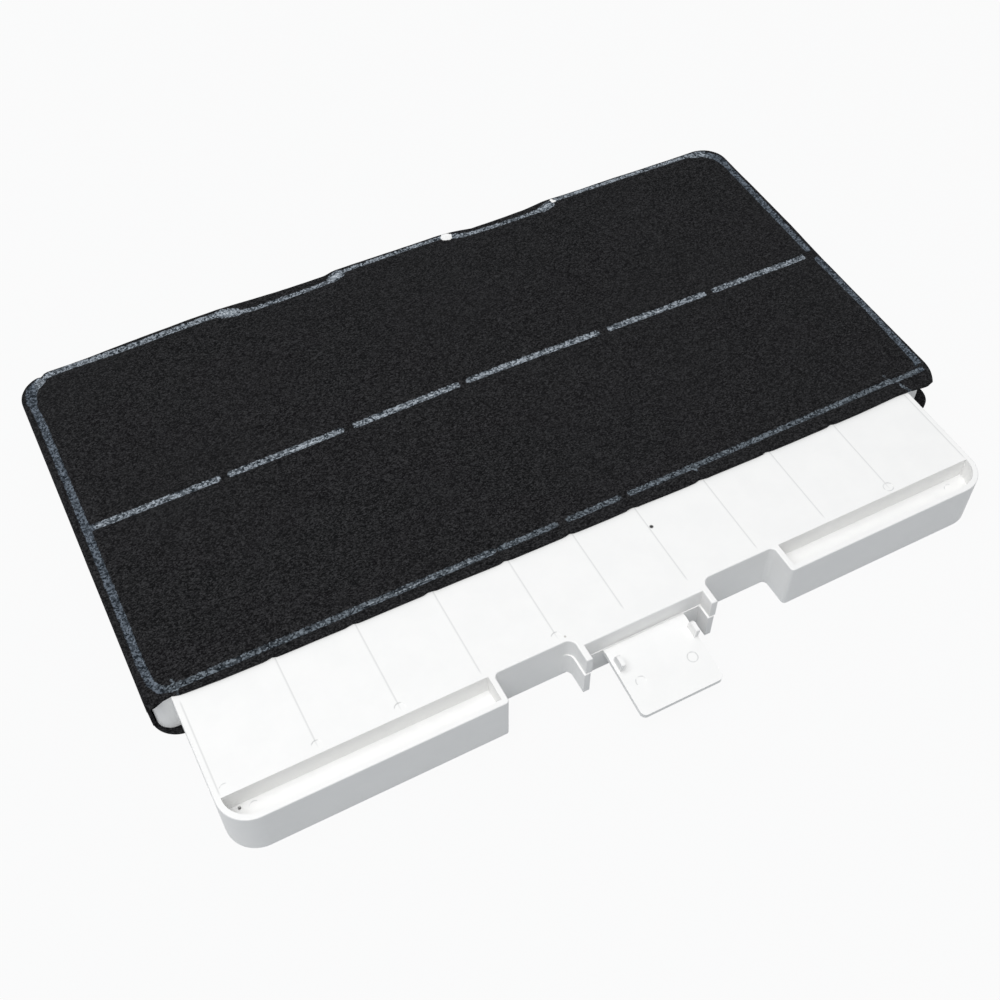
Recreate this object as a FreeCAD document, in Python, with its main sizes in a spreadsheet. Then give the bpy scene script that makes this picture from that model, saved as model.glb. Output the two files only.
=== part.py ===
# Cooker hood carbon filter: a white moulded frame with a release flap and a carbon felt on each face.
# X runs along the front edge, Y to the rear and Z up. The sketches are drawn from the middle cross rib
# and the blocks' front face. Each piece is then moved so that the origin lies on the underside, in the
# middle of the bed and in line with the latch.
import math
import os
import FreeCAD
import Part
import Sketcher

os.makedirs("parts", exist_ok=True)
doc = FreeCAD.newDocument("carbon_filter")

# Driving dimensions in millimetres and degrees
SIZES = {
    "frame_height": 30.5,
    "strip_width": 435.4,
    "bed_left": 228.0,
    "bed_right": 239.4,
    "bed_front": 78.5,
    "bed_rear": 310.0,
    "wall": 3.0,
    "plate": 2.5,
    "bed_rear_corner": 12.5,
    "bed_front_corner": 8.5,
    "dent_width": 71.0,
    "dent_depth": 5.5,
    "dent_spacing": 144.0,
    "rib_thickness": 1.6,
    "rib_pitch": 42.6,
    "middle_pitch": 37.6,
    "ribs_each_side": 4,
    "bar_place": 193.0,
    "block_depth": 17.1,
    "block_corner": 16.5,
    "block_rim": 3.0,
    "trough_floor": 17.5,
    "drain_bore": 1.8,
    "drain_inset": 9.2,
    "latch_centre": 6.5,
    "notch_width": 163.0,
    "notch_inner_round": 3.0,
    "notch_outer_round": 2.0,
    "arm_thickness": 3.5,
    "arm_setback": 2.4,
    "arm_round": 4.5,
    "arm_shift": 1.0,
    "latch_lift": 2.0,
    "recess_width": 68.8,
    "recess_setback": 11.1,
    "ledge_height": 18.0,
    "ledge_step": 0.5,
    "edge_round": 0.7,
    "mark_bore": 5.4,
    "mark_depth": 0.2,
    "mark_place": 21.5,
    "felt_gauge": 2.0,
    "skirt_gauge": 2.5,
    "top_felt_left_front": 75.5,
    "top_felt_right_front": 70.0,
    "skirt_front": 84.0,
    "top_felt_round": 1.5,
    "bottom_felt_front": 74.0,
    "bottom_felt_corner": 12.0,
    "felt_clearance": 0.3,
    "flap_width": 47.2,
    "flap_length": 39.3,
    "flap_thickness": 3.0,
    "flap_corner": 3.0,
    "flap_tilt": 8.0,
    "flap_drop": 15.0,
    "flap_draft": 4.0,
    "film_radius": 0.5,
    "film_length": 1.2,
    "hinge_clearance": 0.3,
    "hinge_rise": 0.3,
    "catch_thickness": 2.2,
    "catch_length": 7.0,
    "catch_height": 7.0,
    "catch_setback": 7.0,
    "left_catch_inset": 1.6,
    "right_catch_inset": 0.2,
    "catch_round": 3.0,
    "catch_nose": 1.0,
    "flap_mark_place": 22.6,
    "flap_mark_spacing": 30.0,
}

sheet = doc.addObject("Spreadsheet::Sheet", "sizes")
for row, (alias, number) in enumerate(SIZES.items(), start=1):
    sheet.set(f"A{row}", alias)
    sheet.set(f"B{row}", str(number))
    sheet.setAlias(f"B{row}", alias)
doc.recompute()


# The number that an expression over the sheet comes to
def number(expression):
    return float(sheet.evalExpression(expression))


# One of a body's own three base planes
def base_plane(body, role):
    return next(plane for plane in body.Origin.OriginFeatures if plane.Role == role)


# A sketch on a base plane, moved along the plane's normal by a bound distance
def sketch_on(body, name, role="XY_Plane", lift="0"):
    sketch = body.newObject("Sketcher::SketchObject", name)
    sketch.AttachmentSupport = [(base_plane(body, role), "")]
    sketch.MapMode = "FlatFace"
    sketch.setExpression("AttachmentOffset.Base.z", lift)
    return sketch


# Ties one corner of a sketch to two bound distances from the sketch's origin
def tie_point(sketch, geometry, end, across, along):
    for kind, expression in (("DistanceX", across), ("DistanceY", along)):
        index = sketch.addConstraint(Sketcher.Constraint(kind, -1, 1, geometry, end, number(expression)))
        sketch.setExpression(f"Constraints[{index}]", expression)


# The place that a pair of expressions gives
def place_of(corner):
    return FreeCAD.Vector(number(corner[0]), number(corner[1]), 0)


# A rounded corner's tangent point on the side of its neighbour, which lies along X or along Y from it
def tangent_point(corner, neighbour):
    across, along, radius = corner
    run = place_of(neighbour) - place_of(corner)
    if abs(run.x) > abs(run.y):
        return (f"{across} {'+' if run.x > 0 else '-'} ({radius})", along)
    return (across, f"{along} {'+' if run.y > 0 else '-'} ({radius})")


# The arc of a rounded corner, with the numbers of its ends in the order of the outline
def add_corner_arc(sketch, corner, enter, leave):
    centre = place_of(enter) + place_of(leave) - place_of(corner)
    first, last = place_of(enter) - centre, place_of(leave) - centre
    turns_left = first.cross(last).z > 0
    if not turns_left:
        first, last = last, first
    begin = math.atan2(first.y, first.x)
    finish = math.atan2(last.y, last.x)
    if finish < begin:
        finish += 2 * math.pi
    circle = Part.Circle(centre, FreeCAD.Vector(0, 0, 1), first.Length)
    arc = sketch.addGeometry(Part.ArcOfCircle(circle, begin, finish))
    radius = sketch.addConstraint(Sketcher.Constraint("Radius", arc, first.Length))
    sketch.setExpression(f"Constraints[{radius}]", corner[2])
    return (arc, 1, 2) if turns_left else (arc, 2, 1)


# A closed outline through corners given as pairs of expressions, where a third one rounds the corner
def add_outline(sketch, corners):
    edges = []
    for index, corner in enumerate(corners):
        following = corners[(index + 1) % len(corners)]
        leave = corner
        if len(corner) == 3:
            enter, leave = tangent_point(corner, corners[index - 1]), tangent_point(corner, following)
            edges.append(add_corner_arc(sketch, corner, enter, leave))
        target = tangent_point(following, corner) if len(following) == 3 else following
        line = sketch.addGeometry(Part.LineSegment(place_of(leave), place_of(target)))
        tie_point(sketch, line, 1, *leave)
        if len(following) == 3:
            tie_point(sketch, line, 2, *target)
        edges.append((line, 1, 2))
    for (one, _, finish), (other, start, _) in zip(edges, edges[1:] + edges[:1]):
        sketch.addConstraint(Sketcher.Constraint("Coincident", one, finish, other, start))


# A rectangle between two bound sides and two bound ends
def add_rectangle(sketch, left, right, front, rear):
    add_outline(sketch, [(left, front), (right, front), (right, rear), (left, rear)])


# A circle at a bound place
def add_circle(sketch, across, along, diameter):
    centre = FreeCAD.Vector(number(across), number(along), 0)
    index = sketch.addGeometry(Part.Circle(centre, FreeCAD.Vector(0, 0, 1), number(diameter) / 2))
    tie_point(sketch, index, 3, across, along)
    radius = sketch.addConstraint(Sketcher.Constraint("Radius", index, number(diameter) / 2))
    sketch.setExpression(f"Constraints[{radius}]", f"({diameter}) / 2")


# Adds material over a sketch, to a bound height
def add_pad(body, sketch, height, midplane=False):
    pad = body.newObject("PartDesign::Pad", sketch.Name + "_pad")
    pad.Profile = sketch
    pad.setExpression("Length", height)
    pad.Midplane = midplane
    doc.recompute()
    return pad


# Cuts a sketch out of the body to a bound depth, upwards or downwards, and proves that it cut
def add_pocket(body, sketch, depth, upwards=False):
    before = body.Shape.Volume
    pocket = body.newObject("PartDesign::Pocket", sketch.Name + "_cut")
    pocket.Profile = sketch
    pocket.setExpression("Length", depth)
    pocket.Reversed = upwards
    doc.recompute()
    if body.Shape.Volume >= before:
        raise RuntimeError(sketch.Name + " cut nothing")
    return pocket


# The edges of a body whose middles lie at given points
def edges_at(body, points):
    found = []
    for index, edge in enumerate(body.Tip.Shape.Edges, start=1):
        if any((edge.CenterOfMass - point).Length < 0.01 for point in points):
            found.append(f"Edge{index}")
    return found


# The edges round the top faces of a body at a bound height, each with its middle
def top_edges(body, height):
    top = number(height)
    found = []
    for index, edge in enumerate(body.Tip.Shape.Edges, start=1):
        box = edge.BoundBox
        if abs(box.ZMin - top) < 0.001 and abs(box.ZMax - top) < 0.001:
            found.append((f"Edge{index}", edge.CenterOfMass))
    return found


# Rounds edges of a body to a bound radius
def add_round(body, name, edges, radius):
    base = body.Tip
    if not edges:
        raise RuntimeError(name + " found no edge")
    fillet = body.newObject("PartDesign::Fillet", name)
    fillet.Base = (base, edges)
    fillet.setExpression("Radius", radius)
    doc.recompute()
    return fillet


# A new body whose label names its file, moved from the sketches' origin to the part's own
def add_body(label, along="0", height="0", tilt="0"):
    body = doc.addObject("PartDesign::Body", label)
    body.Label = label
    body.Placement = FreeCAD.Placement(FreeCAD.Vector(), FreeCAD.Rotation(FreeCAD.Vector(1, 0, 0), 1))
    across = "0" if along != "0" else "-sizes.latch_centre"
    body.setExpression("Placement.Base.x", across)
    body.setExpression("Placement.Base.y", f"{along} - sizes.bar_place")
    body.setExpression("Placement.Base.z", height)
    body.setExpression("Placement.Rotation.Angle", tilt)
    return body


# Named places along X
STRIP_LEFT = "-sizes.strip_width / 2"
STRIP_RIGHT = "sizes.strip_width / 2"
BED_LEFT = "-sizes.bed_left"
BED_RIGHT = "sizes.bed_right"
NOTCH_LEFT = "sizes.latch_centre - sizes.notch_width / 2"
NOTCH_RIGHT = "sizes.latch_centre + sizes.notch_width / 2"
RECESS_LEFT = "sizes.latch_centre - sizes.recess_width / 2"
RECESS_RIGHT = "sizes.latch_centre + sizes.recess_width / 2"
ARMS_LEFT = RECESS_LEFT + " - sizes.arm_thickness"
ARMS_RIGHT = RECESS_RIGHT + " + sizes.arm_thickness"
SKIRT_LEFT = "-sizes.bed_left - sizes.skirt_gauge"
SKIRT_RIGHT = "sizes.bed_right + sizes.skirt_gauge"

# Named places along Y
BED_WALL_REAR = "sizes.bed_front + sizes.wall"
STEP_FRONT = "sizes.bottom_felt_front - sizes.felt_clearance"
SKIRT_REAR = "sizes.bed_rear + sizes.skirt_gauge"


# The corners of the two dents in a rear edge, from right to left. Their sides and bottom are moved
# by an allowance away from the bed's own dents
def rear_dents(widening, rear, deepening):
    bottom = f"sizes.bed_rear - sizes.dent_depth - ({deepening})"
    half = f"(sizes.dent_width / 2 + {widening})"
    corners = []
    for side in ("+", "-"):
        middle = f"sizes.latch_centre {side} sizes.dent_spacing / 2"
        right, left = f"{middle} + {half}", f"{middle} - {half}"
        corners += [(right, rear), (right, bottom), (left, bottom), (left, rear)]
    return corners


# The white moulding
def make_frame():
    body = add_body("frame")

    # The front strip with its two blocks, the latch arms between them and the bed's front wall. The arms
    # are drawn wide enough for their upper and lower halves, which lie a little out of line
    strip = sketch_on(body, "strip_outline")
    tip = "sizes.arm_setback - sizes.ledge_step"
    recess_face = "sizes.recess_setback - sizes.ledge_step"
    lower_left, lower_right = ARMS_LEFT + " - sizes.arm_shift", ARMS_RIGHT + " - sizes.arm_shift"
    inner_left, inner_right = RECESS_LEFT + " - sizes.arm_shift", RECESS_RIGHT + " - sizes.arm_shift"
    add_outline(strip, [
        (STRIP_LEFT, "0", "sizes.block_corner"), (NOTCH_LEFT, "0", "sizes.notch_outer_round"),
        (NOTCH_LEFT, "sizes.block_depth", "sizes.notch_inner_round"),
        (lower_left, "sizes.block_depth", "sizes.arm_round"), (lower_left, tip), (RECESS_LEFT, tip),
        (RECESS_LEFT, recess_face), (inner_right, recess_face), (inner_right, tip),
        (ARMS_RIGHT, tip), (ARMS_RIGHT, "sizes.block_depth", "sizes.arm_round"),
        (NOTCH_RIGHT, "sizes.block_depth", "sizes.notch_inner_round"),
        (NOTCH_RIGHT, "0", "sizes.notch_outer_round"), (STRIP_RIGHT, "0", "sizes.block_corner"),
        (STRIP_RIGHT, BED_WALL_REAR), (STRIP_LEFT, BED_WALL_REAR),
    ])
    add_pad(body, strip, "sizes.frame_height")

    # The upper half of the arms and recess is set back to leave a ledge at the height of the film hinge
    ledge = sketch_on(body, "ledge", lift="sizes.frame_height")
    outside_left = lower_left + " - sizes.arm_round - sizes.wall"
    outside_right = ARMS_RIGHT + " + sizes.arm_round + sizes.wall"
    add_outline(ledge, [
        (outside_left, "-sizes.wall"), (outside_right, "-sizes.wall"), (outside_right, "sizes.arm_setback"),
        (RECESS_RIGHT, "sizes.arm_setback"), (RECESS_RIGHT, "sizes.recess_setback"),
        (RECESS_LEFT, "sizes.recess_setback"), (RECESS_LEFT, "sizes.arm_setback"),
        (ARMS_LEFT, "sizes.arm_setback"), (ARMS_LEFT, "sizes.block_depth", "sizes.arm_round"),
        (outside_left, "sizes.block_depth"),
    ])
    add_pocket(body, ledge, "sizes.frame_height - sizes.ledge_height")

    # The lower half of the arms is cut back on its right-hand faces
    relief = sketch_on(body, "arm_relief")
    add_rectangle(relief, inner_left, RECESS_LEFT + " + sizes.wall", "-sizes.wall", recess_face)
    add_outline(relief, [
        (lower_right, "-sizes.wall"), (outside_right, "-sizes.wall"), (outside_right, "sizes.block_depth"),
        (lower_right, "sizes.block_depth", "sizes.arm_round"),
    ])
    add_pocket(body, relief, "sizes.ledge_height", upwards=True)

    # The arms and the recess between them stop short of the surface that the filter lies on
    lift = sketch_on(body, "latch_underside")
    add_rectangle(lift, lower_left + " - sizes.arm_round", lower_right + " + sizes.arm_round",
                  "-sizes.wall", "sizes.block_depth")
    add_pocket(body, lift, "sizes.latch_lift", upwards=True)

    # The moulding's top edges are slightly rounded, all but the one under the felt
    crest = [edge for edge in top_edges(body, "sizes.frame_height") if edge[1].y < number(BED_WALL_REAR)]
    add_round(body, "strip_edges", [name for name, _ in crest], "sizes.edge_round")

    # The underside steps up behind the strip to take the bottom felt
    step = sketch_on(body, "underside_step")
    add_rectangle(step, BED_LEFT, BED_RIGHT, STEP_FRONT, "sizes.bed_rear")
    add_pocket(body, step, "sizes.felt_gauge", upwards=True)

    # The bed that carries the two felts
    bed = sketch_on(body, "bed_outline", lift="sizes.felt_gauge")
    add_outline(bed, [
        (BED_LEFT, "sizes.bed_front", "sizes.bed_front_corner"),
        (BED_RIGHT, "sizes.bed_front", "sizes.bed_front_corner"),
        (BED_RIGHT, "sizes.bed_rear", "sizes.bed_rear_corner"),
        (BED_LEFT, "sizes.bed_rear", "sizes.bed_rear_corner"),
    ])
    add_pad(body, bed, "sizes.frame_height - sizes.felt_gauge")

    # The strip is hollow from below, up to its top plate
    hollow = sketch_on(body, "strip_hollow")
    inner_front = "sizes.block_depth + sizes.wall"
    jog_front = "sizes.recess_setback + sizes.wall"
    add_outline(hollow, [
        (STRIP_LEFT + " + sizes.wall", inner_front), (RECESS_LEFT, inner_front), (RECESS_LEFT, jog_front),
        (RECESS_RIGHT, jog_front), (RECESS_RIGHT, inner_front), (STRIP_RIGHT + " - sizes.wall", inner_front),
        (STRIP_RIGHT + " - sizes.wall", "sizes.bed_front"), (STRIP_LEFT + " + sizes.wall", "sizes.bed_front"),
    ])
    add_pocket(body, hollow, "sizes.frame_height - sizes.plate", upwards=True)

    # The bed is open right through between its walls, which thicken inwards behind the dents
    well = sketch_on(body, "bed_well")
    front_round = "sizes.bed_front_corner - sizes.wall"
    rear_round = "sizes.bed_rear_corner - sizes.wall"
    well_left, well_right = BED_LEFT + " + sizes.wall", BED_RIGHT + " - sizes.wall"
    well_rear = "sizes.bed_rear - sizes.wall"
    corners = [(well_left, BED_WALL_REAR, front_round), (well_right, BED_WALL_REAR, front_round)]
    corners += [(well_right, well_rear, rear_round)]
    corners += rear_dents("sizes.wall", well_rear, "sizes.wall")
    corners += [(well_left, well_rear, rear_round)]
    add_outline(well, corners)
    add_pocket(body, well, "sizes.frame_height", upwards=True)

    # Cross ribs run from the front wall to the rear wall, and one more at each end crosses the bed alone
    ribs = sketch_on(body, "cross_ribs", lift="sizes.felt_gauge")
    rib_rear = "sizes.bed_rear - sizes.wall / 2"
    long_front, short_front = "sizes.block_depth + sizes.wall / 2", "sizes.bed_front + sizes.wall / 2"
    places = [("0", long_front)]
    count = int(number("sizes.ribs_each_side"))
    for index in range(count + 1):
        front = long_front if index < count else short_front
        for side in ("", "-"):
            places.append((f"{side}(sizes.middle_pitch + {index} * sizes.rib_pitch)", front))
    for place, front in places:
        add_rectangle(ribs, place + " - sizes.rib_thickness / 2", place + " + sizes.rib_thickness / 2",
                      front, rib_rear)
    add_pad(body, ribs, "sizes.frame_height - sizes.felt_gauge")

    # The lengthwise bar under the felt's middle weld
    bar = sketch_on(body, "middle_bar", lift="sizes.felt_gauge")
    add_rectangle(bar, BED_LEFT + " + sizes.wall / 2", BED_RIGHT + " - sizes.wall / 2",
                  "sizes.bar_place - sizes.rib_thickness / 2", "sizes.bar_place + sizes.rib_thickness / 2")
    add_pad(body, bar, "sizes.frame_height - sizes.felt_gauge")

    # Two dents in the rear edge clear the hooks that the filter hangs on
    dents = sketch_on(body, "rear_dents")
    for side in ("+", "-"):
        middle = f"sizes.latch_centre {side} sizes.dent_spacing / 2"
        add_rectangle(dents, middle + " - sizes.dent_width / 2", middle + " + sizes.dent_width / 2",
                      "sizes.bed_rear - sizes.dent_depth", "sizes.bed_rear + sizes.wall")
    add_pocket(body, dents, "sizes.frame_height", upwards=True)

    # Each block is a trough from above and a shallow hollow from below, with the trough's floor between
    outer_round = "sizes.block_corner - sizes.block_rim"
    for name, lift, depth, upwards in (
        ("troughs", "sizes.frame_height", "sizes.frame_height - sizes.trough_floor", False),
        ("block_hollows", "0", "sizes.trough_floor - sizes.plate", True),
    ):
        hollows = sketch_on(body, name, lift=lift)
        for outer, inner in (
            (STRIP_LEFT + " + sizes.block_rim", NOTCH_LEFT + " - sizes.block_rim"),
            (STRIP_RIGHT + " - sizes.block_rim", NOTCH_RIGHT + " + sizes.block_rim"),
        ):
            add_outline(hollows, [
                (outer, "sizes.block_rim", outer_round), (inner, "sizes.block_rim"),
                (inner, "sizes.block_depth"), (outer, "sizes.block_depth"),
            ])
        add_pocket(body, hollows, depth, upwards)

    # A small drain hole goes through the left trough's floor, in the bend of its outer end
    drain = sketch_on(body, "drain")
    add_circle(drain, STRIP_LEFT + " + sizes.drain_inset", "sizes.block_depth - sizes.drain_bore",
               "sizes.drain_bore")
    add_pocket(body, drain, "sizes.frame_height", upwards=True)

    # Ejector marks show on the plate at the front ends of some ribs
    marks = sketch_on(body, "ejector_marks", lift="sizes.frame_height")
    for index in (0, 2, 3):
        add_circle(marks, f"-(sizes.middle_pitch + {index} * sizes.rib_pitch)", "sizes.mark_place",
                   "sizes.mark_bore")
    add_circle(marks, "sizes.middle_pitch + 3 * sizes.rib_pitch", "sizes.mark_place", "sizes.mark_bore")
    add_pocket(body, marks, "sizes.mark_depth")
    return body


# The felt on the top face: a sheet over the bed with its sides and rear turned down over the walls
def make_top_felt():
    body = add_body("top_felt")
    sheet_outline = sketch_on(body, "top_felt_outline", lift="sizes.felt_gauge")
    rear_round = "sizes.bed_rear_corner + sizes.skirt_gauge"
    corners = [(SKIRT_LEFT, "sizes.top_felt_left_front"), (SKIRT_RIGHT, "sizes.top_felt_right_front")]
    corners += [(SKIRT_RIGHT, SKIRT_REAR, rear_round)]
    corners += rear_dents("-sizes.skirt_gauge", SKIRT_REAR, "-sizes.skirt_gauge")
    corners += [(SKIRT_LEFT, SKIRT_REAR, rear_round)]
    add_outline(sheet_outline, corners)
    add_pad(body, sheet_outline, "sizes.frame_height")

    # The hollow under the sheet holds the bed, and opens to the front and beside the skirts' front ends
    hollow = sketch_on(body, "top_felt_hollow", lift="sizes.felt_gauge")
    outside_left, outside_right = SKIRT_LEFT + " - sizes.wall", SKIRT_RIGHT + " + sizes.wall"
    ahead = "sizes.top_felt_right_front - sizes.wall"
    corners = [(outside_left, ahead), (outside_right, ahead), (outside_right, "sizes.skirt_front")]
    corners += [(BED_RIGHT, "sizes.skirt_front"), (BED_RIGHT, "sizes.bed_rear", "sizes.bed_rear_corner")]
    corners += rear_dents("0", "sizes.bed_rear", "0")
    corners += [(BED_LEFT, "sizes.bed_rear", "sizes.bed_rear_corner"), (BED_LEFT, "sizes.skirt_front")]
    corners += [(outside_left, "sizes.skirt_front")]
    add_outline(hollow, corners)
    add_pocket(body, hollow, "sizes.frame_height - sizes.felt_gauge", upwards=True)

    # The felt bends softly over the bed's side and rear edges
    bends = top_edges(body, "sizes.frame_height + sizes.felt_gauge")
    bends = [name for name, middle in bends if middle.y > number("sizes.skirt_front")]
    add_round(body, "felt_bends", bends, "sizes.top_felt_round")
    return body


# The felt on the underside: a flat sheet let into the step behind the strip
def make_bottom_felt():
    body = add_body("bottom_felt")
    outline = sketch_on(body, "bottom_felt_outline")
    rear_round = "sizes.bed_rear_corner + sizes.skirt_gauge"
    corners = [(SKIRT_LEFT, "sizes.bottom_felt_front", "sizes.bottom_felt_corner")]
    corners += [(SKIRT_RIGHT, "sizes.bottom_felt_front", "sizes.bottom_felt_corner")]
    corners += [(SKIRT_RIGHT, SKIRT_REAR, rear_round)]
    corners += rear_dents("-sizes.skirt_gauge", SKIRT_REAR, "-sizes.skirt_gauge")
    corners += [(SKIRT_LEFT, SKIRT_REAR, rear_round)]
    add_outline(outline, corners)
    add_pad(body, outline, "sizes.felt_gauge")
    return body


# The side view of the flap's plate: a film round the hinge axis, a step up to the plate, a drafted
# front end and a relieved rear end, tangent to the film, that stands upright at the end of the drop
def add_flap_profile(profile):
    turn = "(sizes.flap_tilt + sizes.flap_drop)"
    bottom = "2 * sizes.film_radius - sizes.flap_thickness"
    tangent = (f"sizes.film_radius * cos({turn})", f"-sizes.film_radius * sin({turn})")
    heel = (f"{tangent[0]} - (-({bottom}) - sizes.film_radius * sin({turn})) * tan({turn})", bottom)
    toe = ("-sizes.flap_length - sizes.flap_thickness * tan(sizes.flap_draft)", bottom)
    places = [
        ("0", "sizes.film_radius"), ("-sizes.film_length", "sizes.film_radius"),
        ("-sizes.film_length", "2 * sizes.film_radius"), ("-sizes.flap_length", "2 * sizes.film_radius"),
        toe, heel, tangent,
    ]
    lines = []
    for here, there in zip(places, places[1:]):
        lines.append(profile.addGeometry(Part.LineSegment(place_of(here), place_of(there))))
        tie_point(profile, lines[-1], 1, *here)
    tie_point(profile, lines[-1], 2, *tangent)
    radius = number("sizes.film_radius")
    circle = Part.Circle(FreeCAD.Vector(0, 0, 0), FreeCAD.Vector(0, 0, 1), radius)
    film = profile.addGeometry(Part.ArcOfCircle(circle, -math.radians(number(turn)), math.pi / 2))
    bend = profile.addConstraint(Sketcher.Constraint("Radius", film, radius))
    profile.setExpression(f"Constraints[{bend}]", "sizes.film_radius")
    for one, other in zip(lines, lines[1:]):
        profile.addConstraint(Sketcher.Constraint("Coincident", one, 2, other, 1))
    profile.addConstraint(Sketcher.Constraint("Coincident", lines[-1], 2, film, 1))
    profile.addConstraint(Sketcher.Constraint("Coincident", film, 2, lines[0], 1))


# The release flap, drawn level with its hinge axis through its own origin, then tilted down in place.
# The axis lies at the ledge, clear of the wall below it
def make_release_flap():
    axis_place = "sizes.recess_setback - sizes.ledge_step - sizes.film_radius - sizes.hinge_clearance"
    axis_height = "sizes.ledge_height + sizes.hinge_rise"
    body = add_body("release_flap", axis_place, axis_height, "sizes.flap_tilt")
    profile = sketch_on(body, "flap_profile", role="YZ_Plane")
    add_flap_profile(profile)
    add_pad(body, profile, "sizes.flap_width", midplane=True)
    half_width, length = number("sizes.flap_width / 2"), number("sizes.flap_length")
    overhang = number("sizes.flap_thickness * tan(sizes.flap_draft) / 2")
    mid_height = number("2 * sizes.film_radius - sizes.flap_thickness / 2")
    corners = [FreeCAD.Vector(side * half_width, -length - overhang, mid_height) for side in (-1, 1)]
    add_round(body, "flap_corners", edges_at(body, corners), "sizes.flap_corner")

    # Two catch ribs stand on the plate near the hinge, with their rear shoulders rounded
    rear, front = "-sizes.catch_setback", "-sizes.catch_setback - sizes.catch_length"
    crest = "2 * sizes.film_radius + sizes.catch_height"
    for name, place in (
        ("left_catch", "sizes.left_catch_inset - sizes.flap_width / 2"),
        ("right_catch", "sizes.flap_width / 2 - sizes.right_catch_inset - sizes.catch_thickness"),
    ):
        catch = sketch_on(body, name, role="YZ_Plane", lift=place)
        add_outline(catch, [
            (front, "sizes.film_radius"), (rear, "sizes.film_radius"),
            (rear, crest, "sizes.catch_round"), (front, crest, "sizes.catch_nose"),
        ])
        add_pad(body, catch, "sizes.catch_thickness")

    # Two ejector marks on the plate
    marks = sketch_on(body, "flap_marks", lift="2 * sizes.film_radius")
    for side in ("-", ""):
        add_circle(marks, f"{side}sizes.flap_mark_spacing / 2", "-sizes.flap_mark_place", "sizes.mark_bore")
    add_pocket(body, marks, "sizes.mark_depth")
    return body


pieces = [make_frame(), make_top_felt(), make_bottom_felt(), make_release_flap()]
doc.recompute()

# Nothing is written unless every object and every piece is sound
for item in doc.Objects:
    if "Invalid" in item.State or "Error" in item.State:
        raise RuntimeError(item.Name + " failed: " + item.getStatusString())
for piece in pieces:
    if piece.Shape.isNull() or not piece.Shape.isValid() or len(piece.Shape.Solids) != 1:
        raise RuntimeError(piece.Label + " isn't one sound solid")
    piece.Shape.exportStep("parts/" + piece.Label + ".step")
    print(piece.Label, round(piece.Shape.Volume), piece.Shape.BoundBox)
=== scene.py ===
"""Cooker hood carbon filter: a white moulded frame, its release flap and a black carbon felt on each face."""
import math
import bmesh
import bpy
from mathutils import Matrix, Vector, noise


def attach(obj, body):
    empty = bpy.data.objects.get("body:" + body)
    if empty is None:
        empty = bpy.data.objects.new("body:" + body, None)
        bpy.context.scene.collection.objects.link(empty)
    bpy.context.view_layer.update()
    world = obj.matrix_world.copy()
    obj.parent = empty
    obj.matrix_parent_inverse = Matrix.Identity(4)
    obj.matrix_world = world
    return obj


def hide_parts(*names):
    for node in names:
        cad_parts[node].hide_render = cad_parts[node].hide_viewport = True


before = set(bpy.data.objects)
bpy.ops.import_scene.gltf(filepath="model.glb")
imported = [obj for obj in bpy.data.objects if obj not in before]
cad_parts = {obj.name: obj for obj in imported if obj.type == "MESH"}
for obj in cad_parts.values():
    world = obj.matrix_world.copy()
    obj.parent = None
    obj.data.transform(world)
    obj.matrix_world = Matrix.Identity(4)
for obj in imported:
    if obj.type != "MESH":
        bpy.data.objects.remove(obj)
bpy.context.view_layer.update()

# Lengths are in millimetres, except in the studio, the sheets' flat sizes and the shader nodes' own settings.
# A band runs from where a thing has not yet begun to where it is all there.
MM = 0.001

# The felts: outer sides, rear and front edges, top, thickness, and the top felt's rear corners
FELT_LEFT, FELT_RIGHT, FELT_REAR = -237.0, 235.1, 119.5
TOP_FRONT, BOTTOM_FRONT = -120.0, -119.0
FELT_TOP = 32.5
TOP_GAUGE, BOTTOM_GAUGE = 1.9, 1.85
TOP_CORNER = 15.0

# The frame: its top, the walls under the top felt, and the dents in the rear wall
FRAME_TOP = 30.5
WALL_LEFT, WALL_RIGHT, WALL_REAR, WALL_CORNER = -234.5, 232.9, 117.0, 12.5
DENT_CENTRES = (-72.0, 72.0)
DENT_HALF = 35.5
DENT_BAND = (0.8, 7.0)
DENT_DEPTH = 5.5

# The top felt's skirt: its bend, the line behind which all of the edge turns down and the line where the
# skirt ends at the front, the height of its hem, how far it stands off the walls, the part of its fall in
# which it comes back to them, and the rings of faces in its bend and its fall
FELT_TURN = 2.2
SKIRT_REAR, SKIRT_FRONT = 80.0, -109.3
SKIRT_HEM = 2.1
WALL_CLEARANCE = 2.4
SKIRT_RETURN = 0.55
BEND_RINGS, FALL_RINGS = 5, 12


# Shader maths

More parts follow.
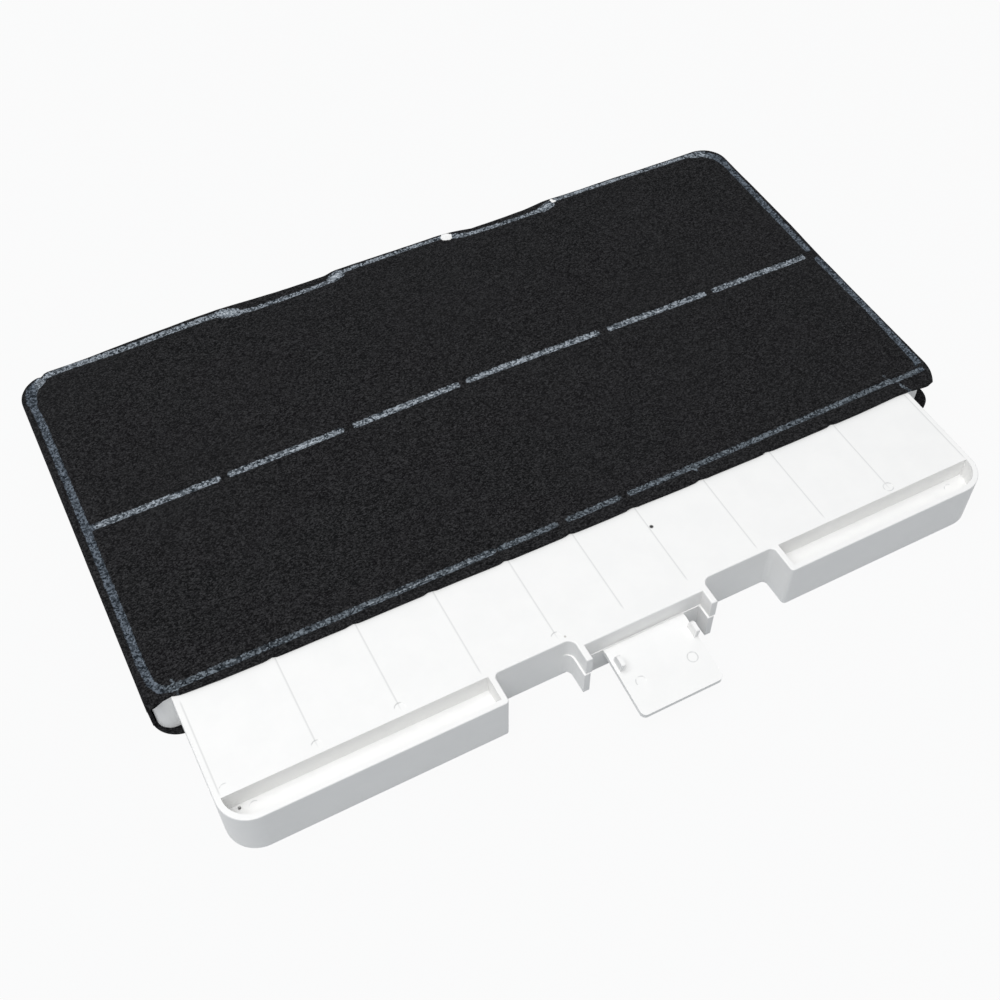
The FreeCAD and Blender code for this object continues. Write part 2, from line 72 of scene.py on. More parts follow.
class Value:
    """A shader socket that ordinary arithmetic can be done on."""

    def __init__(self, socket):
        self.socket = socket

    @staticmethod
    def node(tree, kind, settings=None, sockets=None, output=0):
        """The output of a new node, its settings made first and its sockets then filled or linked."""
        made = tree.nodes.new(kind)
        for name, setting in (settings or {}).items():
            setattr(made, name, setting)
        for name, value in (sockets or {}).items():
            if isinstance(value, Value):
                tree.links.new(value.socket, made.inputs[name])
            else:
                made.inputs[name].default_value = value
        return Value(made.outputs[output])

    def math(self, operation, *others):
        values = dict(enumerate((self,) + others))
        return Value.node(self.socket.id_data, "ShaderNodeMath", {"operation": operation}, values)

    def __add__(self, other):
        return self.math("ADD", other)

    def __sub__(self, other):
        return self.math("SUBTRACT", other)

    def __mul__(self, other):
        return self.math("MULTIPLY", other)

    def __rsub__(self, other):
        return Value.node(self.socket.id_data, "ShaderNodeMath", {"operation": "SUBTRACT"},
                          {0: other, 1: self})

    def __abs__(self):
        return self.math("ABSOLUTE")

    __radd__ = __add__
    __rmul__ = __mul__

    def lower(self, other):
        return self.math("MINIMUM", other)

    def higher(self, other):
        return self.math("MAXIMUM", other)

    def step(self, start, end):
        """0 up to start and 1 from end on, with a soft slope between."""
        return Value.node(self.socket.id_data, "ShaderNodeMapRange", {"interpolation_type": "SMOOTHSTEP"},
                          {"Value": self, "From Min": start, "From Max": end})


def new_material(name):
    material = bpy.data.materials.new(name)
    material.use_nodes = True
    tree = material.node_tree
    shader = tree.nodes["Principled BSDF"]
    return material, tree, shader


def object_axes(tree):
    """The object's own coordinates in metres, and how far across, along and up they lie in millimetres."""
    place = Value.node(tree, "ShaderNodeTexCoord", output="Object")
    axes = [Value.node(tree, "ShaderNodeSeparateXYZ", None, {"Vector": place}, axis) for axis in "XYZ"]
    return place, *(axis * (1.0 / MM) for axis in axes)


def grain(tree, place, scale, detail):
    """Soft noise from 0 to 1."""
    return Value.node(tree, "ShaderNodeTexNoise", None,
                      {"Vector": place, "Scale": scale, "Detail": detail, "Roughness": 0.6})


def grains(tree, place, scale, stretch=None):
    """Small grains, each with its own random value from 0 to 1."""
    if stretch:
        place = Value.node(tree, "ShaderNodeMapping", None, {"Vector": place, "Scale": stretch})
    cells = Value.node(tree, "ShaderNodeTexVoronoi", None, {"Vector": place, "Scale": scale}, "Color")
    return Value.node(tree, "ShaderNodeSeparateColor", None, {"Color": cells})


def blend_colours(tree, factor, dark, light):
    """The dark colour at 0 and the light one at 1."""
    # Several of the node's sockets share a name: the colours go into 6 and 7, and their mix comes out of 2
    sockets = {"Factor": factor, 6: dark, 7: light}
    return Value.node(tree, "ShaderNodeMix", {"data_type": "RGBA"}, sockets, 2)


def plan_distance(across, along, x, y):
    """How far each place lies from one point, seen from above."""
    return ((across - x) * (across - x) + (along - y) * (along - y)).math("SQRT")


def dress(tree, shader, colour, roughness, relief, strength, distance):
    """Gives the shader its colour, its roughness and a bump from the relief."""
    sockets = {"Strength": strength, "Distance": distance, "Height": relief}
    bump = Value.node(tree, "ShaderNodeBump", None, sockets)
    for name, value in (("Base Color", colour), ("Roughness", roughness), ("Normal", bump)):
        tree.links.new(value.socket, shader.inputs[name])


# Materials

# Where the top shows, where the plate begins at the front, and where the ribs under it end at the sides
TOP_BAND = (FRAME_TOP - 0.3, FRAME_TOP - 0.1)
PLATE_BAND, PAST_RIBS_BAND = (-174.0, -170.0), (172.0, 174.0)
# The sink lines that the ribs and the end walls draw on the top, a dent in the bump and a grey of painted
# shade in
# the colour: those of the walls begin and end in bands of their own, and across any line its edge is a band
RIB_FIRST, RIB_PITCH, RIB_LINE = 37.6, 42.6, -6.5
WALL_LINE = 214.5
WALL_FRONT_BAND, WALL_END_BAND = (-176.0, -172.0), (-122.0, -118.0)
LINE_EDGE_BAND = (0.10, 0.62)
LINE_SHADE, LINE_SINK = 0.36, 0.9
WHITE_TONES = ((0.890, 0.889, 0.880, 1), (0.910, 0.908, 0.898, 1))
# The greys of the painted shade in the sink lines and in the pin rings
LINE_SHADE_TONE, RING_SHADE_TONE = (0.46, 0.47, 0.47, 1), (0.45, 0.46, 0.46, 1)
# Small specks given as place, radius and shade
SPECKS = [(32.6, -135.3, 1.05, 0.015), (-40.5, -173.3, 0.6, 0.55), (187.5, -187.9, 0.6, 0.35),
          (-95.1, -188.4, 0.6, 0.35)]
# Rings left by the mould's pins on the plate, in the troughs and on the flap, greyed with painted shade on
# their far side:
# the heights they show between, and for each its place and how far up its middle the part that shows begins
RING_RADIUS, RING_SHADE = 2.7, 0.5
RING_EDGE_BAND = (0.10, 0.50)
SHADED_PIN_RINGS = [
    (30.1, 30.8, [(-44.1, -171.5, 1.6), (-129.3, -171.5, 1.2), (-171.9, -171.5, 1.6), (158.9, -171.5, -4.0),
                  (-217.7, -172.4, 1.6)]),
    (17.3, 17.9, [(-208.1, -180.1, 1.0), (196.7, -180.9, 1.0)]),
    (10.6, 17.6, [(-15.0, -205.7, -0.6), (15.0, -205.7, -4.0)]),
]
# The felt, from the dark between its fibres to the lightest of them, and its faint clouds
FELT_TONES = ((0.0024, 0.0024, 0.0028, 1), (0.0400, 0.0400, 0.0420, 1))
CLOUD_TONE = (0.016, 0.016, 0.017, 1)
# The welds, from their dark flecks to their light ones: in front, further back, along the sides and in the
# knobs by the dents, with the bands in which one gives way to another
FRONT_TONES = ((0.006, 0.009, 0.012, 1), (0.200, 0.232, 0.265, 1))
BACK_TONES = ((0.010, 0.015, 0.020, 1), (0.390, 0.435, 0.485, 1))
SIDE_TONES = ((0.009, 0.013, 0.018, 1), (0.160, 0.190, 0.228, 1))
KNOB_TONES = ((0.110, 0.135, 0.160, 1), (0.620, 0.670, 0.720, 1))
BACK_BAND, SIDE_BAND = (-108.0, -96.0), (224.0, 228.0)
KNOB_BAND, PAST_KNOBS_BAND = (1.3, 2.1), (120.0, 124.0)
# The white under a worn spot
BARE_TONE = (0.93, 0.93, 0.92, 1)


def moulded_white():
    """White satin moulding with a slight ripple, sink lines over the ribs and pin rings greyed with painted
    shade, and a few specks.
    """
    material, tree, shader = new_material("moulded_white")
    place, across, along, height = object_axes(tree)
    at_top = height.step(*TOP_BAND)
    beside = abs(across - RIB_LINE)
    wrapped = (beside - (RIB_FIRST - RIB_PITCH / 2)).math("FLOORED_MODULO", RIB_PITCH)
    to_rib = abs(wrapped - RIB_PITCH / 2).higher(RIB_FIRST / 2 - beside).lower(beside)
    on_plate = at_top * along.step(*PLATE_BAND) * (1.0 - beside.step(*PAST_RIBS_BAND))
    sink = (1.0 - to_rib.step(*LINE_EDGE_BAND)) * on_plate
    at_wall = (1.0 - abs(beside - WALL_LINE).step(*LINE_EDGE_BAND)) * at_top
    sink = sink.higher(at_wall * (1.0 - along.step(*WALL_END_BAND)) * along.step(*WALL_FRONT_BAND))
    ripple = grain(tree, place, 60.0, 3.0)
    pebble = grain(tree, place, 900.0, 2.0)
    breaks = grain(tree, place, 330.0, 1.0).step(0.36, 0.58)
    colour = blend_colours(tree, ripple.step(0.3, 0.7), *WHITE_TONES)
    # Painted shade greys the sink lines; their dent is in the bump below
    colour = blend_colours(tree, sink * LINE_SHADE, colour, LINE_SHADE_TONE)
    for low, high, rings in SHADED_PIN_RINGS:
        level = height.step(low, low + 0.05) * (1.0 - height.step(high, high + 0.05))
        for x, y, shown in rings:
            from_ring = abs(plan_distance(across, along, x, y) - RING_RADIUS)
            # The rings' painted shade shows on their far side as the camera sees them
            shaded_side = ((along - y) * 0.95 - (across - x) * 0.3).step(shown, shown + 0.8)
            painted_ring_shade = (1.0 - from_ring.step(*RING_EDGE_BAND)) * level * shaded_side * breaks
            colour = blend_colours(tree, painted_ring_shade * RING_SHADE, colour, RING_SHADE_TONE)
    for x, y, radius, shade in SPECKS:
        spot = (1.0 - plan_distance(across, along, x, y).step(radius * 0.6, radius * 1.4)) * at_top
        colour = blend_colours(tree, spot, colour, (shade, shade * 0.97, shade * 0.92, 1))
    relief = pebble * 0.10 + ripple * 0.5 - sink * LINE_SINK
    dress(tree, shader, colour, 0.36 + pebble * 0.12, relief, 0.25, 0.0004)
    shader.inputs["Specular IOR Level"].default_value = 0.4
    return material


def carbon_felt():
    """Black needle-punched felt, pressed to a speckled slate band along its welds."""
    material, tree, shader = new_material("carbon_felt")
    place, across, along, _ = object_axes(tree)
    depth = Value.node(tree, "ShaderNodeAttribute", {"attribute_name": "weld_depth"}, output="Fac")
    bare = Value.node(tree, "ShaderNodeAttribute", {"attribute_name": "bare_depth"}, output="Fac")
    fibres = grains(tree, place, 880.0, (1.0, 1.9, 1.5))
    fuzz = grains(tree, place, 1500.0)
    cloud = grain(tree, place, 14.0, 3.0)
    ragged = grain(tree, place, 640.0, 2.0)
    speckle = grains(tree, place, 1150.0)
    mottle = grain(tree, place, 340.0, 2.0)
    hair = fibres.step(0.25, 1.0) * 0.4 + fuzz.step(0.45, 1.0) * 0.6
    felt = blend_colours(tree, hair, *FELT_TONES)
    felt = blend_colours(tree, cloud.step(0.40, 0.75) * 0.20, felt, CLOUD_TONE)
    flecks = speckle.step(0.25, 1.0) * 0.8 + mottle.step(0.38, 0.62) * 0.2
    front, back, side, knob = (blend_colours(tree, flecks, *tones)
                               for tones in (FRONT_TONES, BACK_TONES, SIDE_TONES, KNOB_TONES))
    slate = blend_colours(tree, along.step(*BACK_BAND), front, back)
    slate = blend_colours(tree, abs(across).step(*SIDE_BAND), slate, side)
    in_knob = depth.step(*KNOB_BAND) * (1.0 - abs(across).step(*PAST_KNOBS_BAND))
    slate = blend_colours(tree, in_knob, slate, knob)
    weld = (depth + (ragged - 0.5) * 1.7).step(-0.25, 0.30)
    colour = blend_colours(tree, weld * 0.95, felt, slate)
    hole = (bare + (ragged - 0.5) * 1.2).step(-0.2, 0.2)
    colour = blend_colours(tree, hole, colour, BARE_TONE)
    relief = hair * 0.8 + cloud * 0.3 - weld * 0.5
    dress(tree, shader, colour, 0.80 - weld * 0.30 + hair * 0.15, relief, 0.35, 0.0005)
    shader.inputs["Specular IOR Level"].default_value = 0.06
    return material


# Building objects

def add_object(name, data):
    """Puts an object with this data in the scene."""
    made = bpy.data.objects.new(name, data)
    bpy.context.collection.objects.link(made)
    return made


def add_mesh(name, mesh):
    """Puts an object with this built mesh in the scene."""
    data = bpy.data.meshes.new(name)
    mesh.to_mesh(data)
    mesh.free()
    return add_object(name, data)


# Felts

# Where the top felt's soft rear edge runs, as places across and along, and how deep a band of it follows
REAR_EDGE = [
    (-237.0, 119.6), (-223.5, 119.6), (-221.0, 118.4), (-218.6, 121.0), (-195.0, 121.3), (-175.0, 122.3),
    (-155.0, 123.1), (-135.0, 123.7), (-113.0, 123.9), (-104.0, 123.4), (-95.0, 122.7), (-75.0, 121.5),
    (-58.0, 121.1), (-45.0, 121.0), (-37.5, 122.9), (-25.0, 122.7), (-5.0, 122.3), (15.0, 121.9),
    (32.0, 121.7), (41.0, 120.9), (47.0, 119.8), (54.0, 118.3), (75.0, 118.1), (94.0, 118.5),
    (106.0, 120.0), (113.0, 120.0), (125.0, 119.7), (145.0, 119.3), (165.0, 118.9), (185.0, 118.5),
    (205.0, 118.0), (235.0, 118.0),
]
REAR_REACH = 26.0

# Welds as runs of (across, along) with half their width
TOP_WELDS = [
    (((-222.0, -111.6), (-205.0, -111.6), (-155.0, -111.5), (-55.0, -111.8), (-48.4, -111.8)), 1.85),
    (((-44.3, -111.8), (-12.0, -111.8)), 1.7),
    (((-4.0, -111.8), (26.4, -111.8)), 1.7),
    (((34.0, -111.9), (85.0, -111.9), (204.4, -111.3)), 1.7),
    (((73.2, -112.6), (74.0, -115.6)), 0.8),
    (((-221.0, -107.6), (-220.8, -116.6)), 0.8),
    (((205.8, -106.3), (206.8, -111.0)), 0.9),
    (((208.6, -114.0), (212.0, -121.5)), 0.9),
    (((207.8, -111.9), (228.4, -111.4)), 1.6),
    (((227.2, -107.4), (229.4, -106.2)), 1.1),
    (((229.6, -105.5), (230.8, -60.0), (230.4, -8.0)), 2.0),
    (((229.8, 2.5), (230.4, 40.0), (231.0, 98.0)), 2.0),
    (((-223.5, -111.3), (-227.8, -109.6), (-230.2, -105.0), (-231.3, -94.0), (-231.0, -60.0), (-230.6, 10.0),
      (-230.9, 80.0), (-231.8, 99.0)), 2.1),
    (((-231.6, 101.5), (-230.6, 106.5), (-228.4, 110.6), (-223.5, 114.4)), 3.0),
    (((-219.0, 117.4), (-205.0, 118.2), (-175.0, 117.6), (-155.0, 118.1), (-135.0, 118.8), (-113.0, 118.8)),
     2.1),
    (((-111.0, 117.9), (-105.5, 116.2)), 3.7),
    (((-104.0, 114.8), (-95.0, 113.5), (-75.0, 113.2), (-55.0, 113.6), (-42.0, 114.2)), 1.6),
    (((-40.2, 116.2), (-37.0, 117.6)), 3.5),
    (((-35.5, 118.8), (-15.0, 118.8), (5.0, 118.7), (33.6, 118.3)), 1.4),
    (((40.8, 116.0), (46.5, 114.2)), 2.1),
    (((47.0, 113.8), (55.0, 113.0), (75.0, 112.2), (101.0, 112.0)), 1.5),
    (((103.0, 112.6), (109.0, 114.6)), 3.0),
    (((115.0, 116.9), (135.0, 116.8), (155.0, 116.2), (185.0, 115.7), (205.0, 115.0), (221.0, 114.4)), 1.6),
    (((217.0, 113.6), (223.6, 111.6), (229.4, 105.0), (231.0, 98.0)), 2.6),
    (((-230.0, -0.7), (-158.6, -0.4)), 2.05),
    (((-150.2, -0.3), (-85.6, 0.4)), 2.05),
    (((-76.2, 0.4), (-13.9, 1.2)), 2.05),
    (((-5.6, 1.4), (15.0, 1.5), (77.4, 0.1)), 2.05),
    (((87.0, -0.3), (150.4, -1.4)), 2.05),
    (((159.2, -1.5), (222.6, -2.2)), 2.05),
]
BOTTOM_WELDS = [
    (((-231.0, 100.0), (-231.0, -96.0), (-222.0, -107.0), (222.0, -107.0), (230.0, -96.0), (230.0, 100.0),
      (222.0, 112.0), (115.0, 113.5), (106.0, 108.4), (38.0, 108.4), (29.0, 113.5), (-29.0, 113.5),
      (-38.0, 108.4), (-106.0, 108.4), (-115.0, 113.5), (-222.0, 112.0), (-231.0, 100.0)), 1.7),
] + [
    (((start, 0.0), (end, 0.0)), 1.9)
    for start, end in ((-228, -158), (-150, -84), (-77, -13), (-6, 78), (85, 145), (152, 225))
]
# Spots where the felt is worn through to the white under it, in the same form
BARE_SPOTS = [(((36.4, 117.2), (37.0, 117.0)), 3.1), (((112.6, 117.4), (112.9, 116.6)), 1.5)]
# The depth given to all that lies well outside the welds
FAR_OUTSIDE = -8.0

# The top felt's front edge over the strip, and how far it droops there
EDGE_BAND, DROOP_BAND = (108.0, -TOP_FRONT), (108.0, 122.0)
FRONT_EDGE = [
    (-237.0, -117.0), (-233.0, -117.3), (-228.5, -115.8), (-224.0, -115.3), (-220.0, -116.6),
    (-200.0, -117.7), (-155.0, -118.5), (-95.0, -119.3), (-35.0, -120.2), (25.0, -120.9),
    (85.0, -121.7), (145.0, -122.1), (175.0, -122.1), (203.0, -121.5), (213.0, -121.8),
    (222.0, -121.8), (235.0, -121.0),
]
FRONT_DROOP = [(-237.0, 2.4), (-226.0, 1.4), (-218.0, 0.0), (211.0, 0.0), (222.0, 2.2), (235.0, 5.4)]
# The notches that the edge has beside the ribs under it
FRONT_RIBS = (-171.9, -129.3, -86.7, -44.1, -6.5, 31.1, 73.7, 116.3, 158.9)
NOTCH_DEPTH, NOTCH_SHIFT, NOTCH_WIDTH = 0.9, 1.8, 1.9
# How far the right side draws in along its front half, and its front corner's edge and radius
RIGHT_DRAW = 1.1
RIGHT_BAND, REAR_HALF_BAND = (225.0, 233.0), (-10.0, 30.0)
RIGHT_CORNER_FRONT, RIGHT_CORNER = -122.0, 8.0

# The bottom felt's corners as side, end and radius, and how far its askew cut stands out at the front right
BOTTOM_CORNERS = [(FELT_LEFT, FELT_REAR, 14.0), (FELT_RIGHT, FELT_REAR, 14.0),
                  (FELT_LEFT, BOTTOM_FRONT, 15.0), (FELT_RIGHT, BOTTOM_FRONT, 13.0)]
BOTTOM_ASKEW = 6.6
ASKEW_SIDE_BAND, ASKEW_FRONT_BAND = (200.0, FELT_RIGHT), (0.0, 100.0)
BOTTOM_DENT_BAND = (FELT_REAR - 22.0, FELT_REAR - 1.0)

# Waves in the felt as length and height: along the front edge, over the faces, and down the skirt
EDGE_WAVE = (31.0, 0.35)
FACE_WAVES = ((26.0, 0.22), (7.0, 0.12))
SKIRT_WAVE = (18.0, 0.3)
# How far the welds, the felt between them and the worn spots lie below the sheet's full height, the depths in
# a weld or spot over which it sinks, and the heights over which the bend becomes the flat of the sheet
WELD_SINK, FACE_SINK, BARE_SINK = 0.95, 0.20, 0.35
WELD_BAND, BARE_BAND = (-1.2, 0.9), (-0.6, 0.6)
FLAT_BAND = (FELT_TOP - 2.0, FELT_TOP - 1.0)


def slope(value, start, end):
    """0 up to start and 1 from end on, with a soft slope between."""
    part = min(max((value - start) / (end - start), 0.0), 1.0)
    return part * part * (3 - 2 * part)


def between(stations, place):
    """The value at a place between stations, each given as its place and value."""
    for (here, low), (there, high) in zip(stations, stations[1:]):
        if place <= there:
            return low + (high - low) * max(place - here, 0.0) / (there - here)
    return stations[-1][1]


def spaced_lines(first, stretches):
    """Grid lines over joined stretches, each given as its end and the most that its lines lie apart."""
    lines = [first]
    for end, apart in stretches:
        start = lines[-1]
        count = max(1, math.ceil((end - start) / apart - 0.001))
        lines += [start + (end - start) * part / count for part in range(1, count + 1)]
    return lines


def wave_at(place, length, height):
    """How far a wave of the felt lifts one place."""
    return noise.noise(Vector((place.x / length, place.y / length, place.z / length + 7.3))) * height


def dent_at(across):
    """How deep the dents of the frame's rear wall are at one place along it."""
    inside = max(DENT_HALF - abs(across - centre) for centre in DENT_CENTRES)
    return DENT_DEPTH * slope(inside, *DENT_BAND)


def notch_at(across):
    """How far the top felt's front edge draws back at one place along it."""
    apart = [(across - rib + NOTCH_SHIFT) / NOTCH_WIDTH for rib in FRONT_RIBS]
    return sum(NOTCH_DEPTH * math.exp(-widths ** 2) for widths in apart)


def wall_gap(across, along):
    """How far a place lies outside the frame's side and rear walls, its dents left aside."""
    beside = abs(across - (WALL_LEFT + WALL_RIGHT) / 2) - (WALL_RIGHT - WALL_LEFT) / 2
    behind = along - WALL_REAR
    if min(beside, behind) > -WALL_CORNER:
        return math.hypot(beside + WALL_CORNER, behind + WALL_CORNER) - WALL_CORNER
    return max(beside, behind)


def run_depth(across, along, welds):
    """How far inside the nearest weld a place lies, below zero outside all of them."""
    deepest = FAR_OUTSIDE
    for run, half in welds:
        for (ax, ay), (bx, by) in zip(run, run[1:]):
            length = math.hypot(bx - ax, by - ay)
            dx, dy = (bx - ax) / length, (by - ay) / length
            forward = (across - ax) * dx + (along - ay) * dy
            beyond = max(-forward, forward - length, 0.0)
            beside = abs((across - ax) * dy - (along - ay) * dx)
            deepest = max(deepest, half - (beyond ** 4 + beside ** 4) ** 0.25)
    return deepest


def rounded_corner(across, along, side, end, radius):
    """Moves a place near the square corner of a grid into the rounded corner of the sheet."""
    from_side = radius - abs(side - across)
    from_end = radius - abs(end - along)
    if from_side <= 0 or from_end <= 0:
        return across, along
    a, b = from_side / radius, from_end / radius
    from_side, from_end = radius * a * math.sqrt(1 - b * b / 2), radius * b * math.sqrt(1 - a * a / 2)
    return side - math.copysign(radius - from_side, side), end - math.copysign(radius - from_end, end)


def grid_sheet(columns, rows):
    """A flat sheet whose grid lines lie at the given places."""
    mesh = bmesh.new()
    bmesh.ops.create_grid(mesh, x_segments=len(columns) - 1, y_segments=len(rows) - 1, size=0.5)
    for vert in mesh.verts:
        column = round((vert.co.x + 0.5) * (len(columns) - 1))
        row = round((vert.co.y + 0.5) * (len(rows) - 1))
        vert.co = Vector((columns[column], rows[row], 0))
    return mesh


def turn_down(mesh, left, right):
    """Turns the sheet's side and rear edges down in rings, round the bend first and then down the walls."""
    def at_side_or_rear(edge):
        at_left = all(vert.co.x < left + 0.01 for vert in edge.verts)
        at_right = all(vert.co.x > right - 0.01 for vert in edge.verts)
        at_rear = all(vert.co.y > SKIRT_REAR for vert in edge.verts)
        return edge.is_boundary and (at_left or at_right or at_rear)

    ring = [edge for edge in mesh.edges if at_side_or_rear(edge)]
    outward = {}
    for edge in ring:
        run = edge.verts[1].co - edge.verts[0].co
        push = Vector((run.y, -run.x, 0)).normalized()
        if push.dot((edge.verts[0].co + edge.verts[1].co) / 2) < 0:
            push.negate()
        for vert in edge.verts:
            outward[vert] = outward.get(vert, Vector()) + push
    lower = Vector((0, 0, (FELT_TOP - FELT_TURN - SKIRT_HEM) / FALL_RINGS))
    spare = {}
    for index in range(BEND_RINGS + FALL_RINGS):
        if index == BEND_RINGS:
            ring = [edge for edge in ring if min(vert.co.y for vert in edge.verts) > SKIRT_FRONT]
        made = bmesh.ops.extrude_edge_only(mesh, edges=ring)["geom"]
        fresh = {item for item in made if isinstance(item, bmesh.types.BMVert)}
        edges = [item for item in made if isinstance(item, bmesh.types.BMEdge)]
        ring = [edge for edge in edges if fresh.issuperset(edge.verts)]
        for vert in fresh:
            neighbours = [edge.other_vert(vert) for edge in vert.link_edges]
            parent = next(neighbour for neighbour in neighbours if neighbour not in fresh)
            outward[vert] = outward[parent]
            push = outward[vert].normalized()
            if index < BEND_RINGS:
                here, there = (math.pi / 2 * part / BEND_RINGS for part in (index, index + 1))
                out, down = math.sin(there) - math.sin(here), math.cos(here) - math.cos(there)
                vert.co += FELT_TURN * (push * out - Vector((0, 0, down)))
            else:
                # Below the bend the skirt comes back to the wall, down into the dents at the rear
                target = WALL_CLEARANCE - dent_at(vert.co.x) * max(push.y, 0.0)
                spare[vert] = spare[parent] if parent in spare else wall_gap(vert.co.x, vert.co.y) - target
                before, after = ((index - BEND_RINGS + part) / FALL_RINGS for part in (0, 1))
                back = spare[vert] * (slope(after, 0.0, SKIRT_RETURN) - slope(before, 0.0, SKIRT_RETURN))
                sway = wave_at(vert.co - lower, *SKIRT_WAVE) - wave_at(vert.co, *SKIRT_WAVE)
                vert.co += push * (sway - back) - lower


def finish_felt(mesh, name, welds, bare_spots, under, thickness, node):
    """Stores the weld depth on the sheet, presses the welds in, thickens it and puts it in the scene."""
    weld_layer = mesh.verts.layers.float.new("weld_depth")
    bare_layer = mesh.verts.layers.float.new("bare_depth")
    weights = []
    for vert in mesh.verts:
        flat = 1.0 if under else slope(vert.co.z, *FLAT_BAND)
        depth = run_depth(vert.co.x, vert.co.y, welds) * flat + FAR_OUTSIDE * (1 - flat)
        bare = run_depth(vert.co.x, vert.co.y, bare_spots) * flat + FAR_OUTSIDE * (1 - flat)
        vert[weld_layer], vert[bare_layer] = depth, bare
        pressed = slope(depth, *WELD_BAND) * flat
        puff = sum(wave_at(vert.co, *wave) for wave in FACE_WAVES)
        face = (FACE_SINK - puff) * (1 - pressed) * flat
        sink = WELD_SINK * pressed + face + BARE_SINK * slope(bare, *BARE_BAND)
        vert.co.z = max(vert.co.z + sink, 0.0) if under else vert.co.z - sink
        weights.append(1.0 - sink / thickness)
    bmesh.ops.recalc_face_normals(mesh, faces=mesh.faces)
    centre = min(mesh.faces, key=lambda face: face.calc_center_median().to_2d().length)
    if (centre.normal.z > 0) == under:
        bmesh.ops.reverse_faces(mesh, faces=mesh.faces)
    bmesh.ops.scale(mesh, vec=(MM, MM, MM), verts=mesh.verts)
    felt = add_mesh(name, mesh)
    felt.data.polygons.foreach_set("use_smooth", [True] * len(felt.data.polygons))
    felt.data.materials.append(felt_material)
    # The modifier takes each place's thickness from its weight
    group = felt.vertex_groups.new(name="gauge")
    for index, weight in enumerate(weights):
        group.add([index], weight, "REPLACE")
    wall = felt.modifiers.new("gauge", "SOLIDIFY")
    wall.thickness, wall.offset, wall.vertex_group = thickness * MM, -1.0, "gauge"
    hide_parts(node)
    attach(felt, "filter")
    return felt


def make_top_felt():
    """The sheet over the bed, turned down over the side and rear walls."""
    left, right, rear = FELT_LEFT + FELT_TURN, FELT_RIGHT - FELT_TURN, FELT_REAR - FELT_TURN
    columns = spaced_lines(left, [(-222.0, 1.0), (-214.0, 1.6), (210.0, 2.4), (right, 1.0)])
    rows = spaced_lines(TOP_FRONT, [(-105.0, 1.0), (-5.0, 2.6), (5.0, 1.0), (104.0, 2.6), (rear, 1.0)])
    mesh = grid_sheet(columns, rows)
    for vert in mesh.verts:
        across, along = vert.co.x, vert.co.y
        for side in (left, right):
            across, along = rounded_corner(across, along, side, rear, TOP_CORNER)
        along += (between(REAR_EDGE, across) - FELT_REAR) * slope(along, rear - REAR_REACH, rear)
        front = between(FRONT_EDGE, across) + wave_at(Vector((across, 0, 0)), *EDGE_WAVE) + notch_at(across)
        along += (front - TOP_FRONT) * slope(-along, *EDGE_BAND)
        droop = between(FRONT_DROOP, across) * slope(-along, *DROOP_BAND)
        vert.co = Vector((across, along, FELT_TOP - droop))
    turn_down(mesh, left, right)
    for vert in mesh.verts:
        vert.co.x -= RIGHT_DRAW * slope(vert.co.x, *RIGHT_BAND) * (1.0 - slope(vert.co.y, *REAR_HALF_BAND))
        vert.co.x, vert.co.y = rounded_corner(
            vert.co.x, vert.co.y, FELT_RIGHT - RIGHT_DRAW, RIGHT_CORNER_FRONT, RIGHT_CORNER)
    felt = finish_felt(mesh, "top_felt_cloth", TOP_WELDS, BARE_SPOTS, False, TOP_GAUGE, "top_felt")


def make_bottom_felt():
    """The flat sheet on the underside."""
    columns = spaced_lines(FELT_LEFT, [(-222.0, 1.2), (222.0, 2.8), (FELT_RIGHT, 1.2)])
    rows = spaced_lines(
        BOTTOM_FRONT, [(-105.0, 1.2), (-4.0, 2.8), (4.0, 1.2), (104.0, 2.8), (FELT_REAR, 1.2)])
    mesh = grid_sheet(columns, rows)
    for vert in mesh.verts:
        across, along = vert.co.x, vert.co.y
        for side, end, radius in BOTTOM_CORNERS:
            across, along = rounded_corner(across, along, side, end, radius)
        across += BOTTOM_ASKEW * slope(across, *ASKEW_SIDE_BAND) * slope(-along, *ASKEW_FRONT_BAND)
        along -= dent_at(across) * slope(along, *BOTTOM_DENT_BAND)
        vert.co = Vector((across, along, 0.0))
    felt = finish_felt(mesh, "bottom_felt_cloth", BOTTOM_WELDS, [], True, BOTTOM_GAUGE, "bottom_felt")


# The filter

white_material = moulded_white()
felt_material = carbon_felt()
for node in ("frame", "release_flap"):
    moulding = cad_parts[node]
    moulding.data.materials.clear()
    moulding.data.materials.append(white_material)
make_top_felt()
make_bottom_felt()


# Studio, in metres

# The world's light on the filter, and the floor's brightness as the camera sees it
AMBIENT = 0.46
FLOOR_WHITE = 0.94
FLOOR_SIZE = 6.0


def seen_directly(tree):
    """1 for rays that come from the camera, by themselves or by way of gloss or glass."""
    camera_ray = Value.node(tree, "ShaderNodeLightPath")
    rays = camera_ray.socket.node.outputs
    return camera_ray.higher(Value(rays["Is Glossy Ray"])).higher(Value(rays["Is Transmission Ray"]))


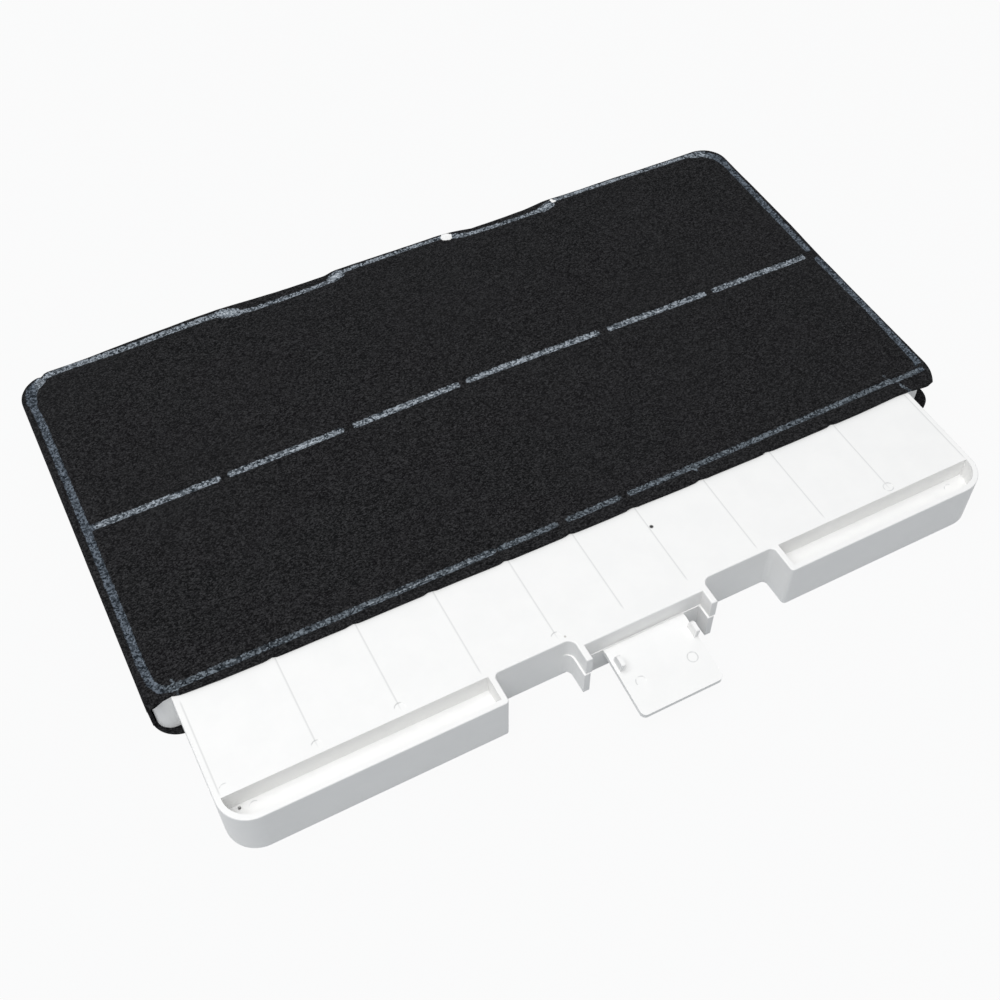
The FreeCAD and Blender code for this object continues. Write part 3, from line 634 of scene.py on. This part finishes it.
def make_floor():
    """A floor that the camera sees white and that lights the filter like pale grey."""
    mesh = bmesh.new()
    bmesh.ops.create_grid(mesh, x_segments=1, y_segments=1, size=FLOOR_SIZE)
    floor = add_mesh("floor", mesh)
    material, tree, shader = new_material("pale_floor")
    shader.inputs["Base Color"].default_value = (0.32, 0.345, 0.37, 1)
    shader.inputs["Roughness"].default_value = 0.9
    shader.inputs["Specular IOR Level"].default_value = 0.1
    white = Value.node(tree, "ShaderNodeEmission")
    parts = {0: seen_directly(tree) * FLOOR_WHITE, 1: Value(shader.outputs[0]), 2: white}
    blend = Value.node(tree, "ShaderNodeMixShader", None, parts)
    tree.links.new(blend.socket, tree.nodes["Material Output"].inputs["Surface"])
    floor.data.materials.append(material)


def make_world():
    """A world that the camera sees white and that lights the filter less."""
    world = bpy.data.worlds.new("studio")
    bpy.context.scene.world = world
    world.use_nodes = True
    tree = world.node_tree
    backdrop = tree.nodes["Background"]
    backdrop.inputs["Color"].default_value = (0.965, 0.98, 1.0, 1)
    tree.links.new((seen_directly(tree) * (1.0 - AMBIENT) + AMBIENT).socket, backdrop.inputs["Strength"])


def make_lamp(name, place, width, energy):
    """A square lamp that faces the origin."""
    data = bpy.data.lights.new(name, "AREA")
    data.shape, data.size, data.energy = "SQUARE", width, energy
    lamp = add_object(name, data)
    lamp.location = place
    lamp.rotation_euler = Vector(place).to_track_quat("Z", "Y").to_euler()


def make_camera():
    """The camera fitted to the photograph, given as its axes and its place."""
    data = bpy.data.cameras.new("camera")
    data.lens, data.sensor_width = 48.168, 36.0
    data.clip_start, data.clip_end = 0.01, 50.0
    camera = add_object("camera", data)
    right = Vector((0.886849, -0.462037, -0.004463))
    up = Vector((0.367255, 0.698995, 0.61362))
    back = Vector((-0.280396, -0.545828, 0.789589))
    turned = Matrix((right, up, back)).transposed().to_4x4()
    camera.matrix_world = Matrix.Translation((-0.2293, -0.47166, 0.59314)) @ turned
    bpy.context.scene.camera = camera


make_floor()
make_world()
make_lamp("overhead", (-0.8, -0.4, 2.5), 2.2, 51.5)
make_camera()
bpy.context.scene.view_settings.view_transform = "Standard"
